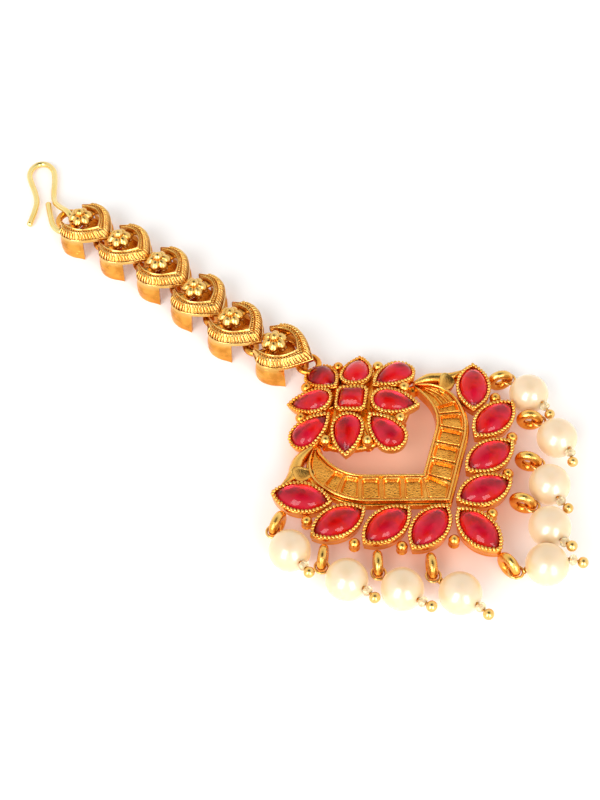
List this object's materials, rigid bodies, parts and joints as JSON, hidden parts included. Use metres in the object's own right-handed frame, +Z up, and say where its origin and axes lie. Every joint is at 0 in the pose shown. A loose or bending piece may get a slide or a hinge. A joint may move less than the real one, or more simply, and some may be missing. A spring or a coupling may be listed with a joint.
{
  "type": "maang tikka",
  "caption": "Gold-plated maang tikka lying flat: a wire hook, a chain of cast links with rosettes, and a pendant of ruby glass stones with a flower, a heart-shaped crescent and pearl drops.",
  "frame": {"origin": "centre of the bounding box, on the surface that the jewel lies on", "axes": "+Y from the pearl drops along the pendant's axis to the hook, +Z up from the surface, +X to the right"},
  "size_m": [0.0518, 0.125, 0.0066],
  "materials": {
    "antique_gold": "antique satin with bright edges",
    "bright_gold": "polished",
    "pin_gold": "polished",
    "ruby_glass": "polished, foil backed",
    "pearl": "pearl lustre",
    "clear_glass": "clear polished"
  },
  "bodies": {
    "root": {"hair_hook": "bright_gold", "link_1": "antique_gold", "link_2": "antique_gold", "link_3": "antique_gold", "link_4": "antique_gold", "link_5": "antique_gold", "link_6": "antique_gold", "pendant_frame": "antique_gold", "stone_centre": "ruby_glass", "flower_stone_1": "ruby_glass", "flower_stone_2": "ruby_glass", "flower_stone_3": "ruby_glass", "flower_stone_4": "ruby_glass", "flower_stone_5": "ruby_glass", "flower_stone_6": "ruby_glass", "flower_stone_7": "ruby_glass", "flower_stone_8": "ruby_glass", "marquise_stone_1": "ruby_glass", "marquise_stone_2": "ruby_glass", "marquise_stone_3": "ruby_glass", "marquise_stone_4": "ruby_glass", "marquise_stone_5": "ruby_glass", "marquise_stone_6": "ruby_glass", "marquise_stone_7": "ruby_glass", "marquise_stone_8": "ruby_glass", "marquise_stone_9": "ruby_glass", "pearl_1": "pearl", "drop_pin_1": "pin_gold", "seed_bead_1": "clear_glass", "pearl_2": "pearl", "drop_pin_2": "pin_gold", "seed_bead_2": "clear_glass", "pearl_3": "pearl", "drop_pin_3": "pin_gold", "seed_bead_3": "clear_glass", "pearl_4": "pearl", "drop_pin_4": "pin_gold", "seed_bead_4": "clear_glass", "pearl_5": "pearl", "drop_pin_5": "pin_gold", "seed_bead_5": "clear_glass", "pearl_6": "pearl", "drop_pin_6": "pin_gold", "seed_bead_6": "clear_glass", "pearl_7": "pearl", "drop_pin_7": "pin_gold", "seed_bead_7": "clear_glass", "pearl_8": "pearl", "drop_pin_8": "pin_gold", "seed_bead_8": "clear_glass", "pearl_9": "pearl", "drop_pin_9": "pin_gold", "seed_bead_9": "clear_glass"}
  },
  "joints": []
}
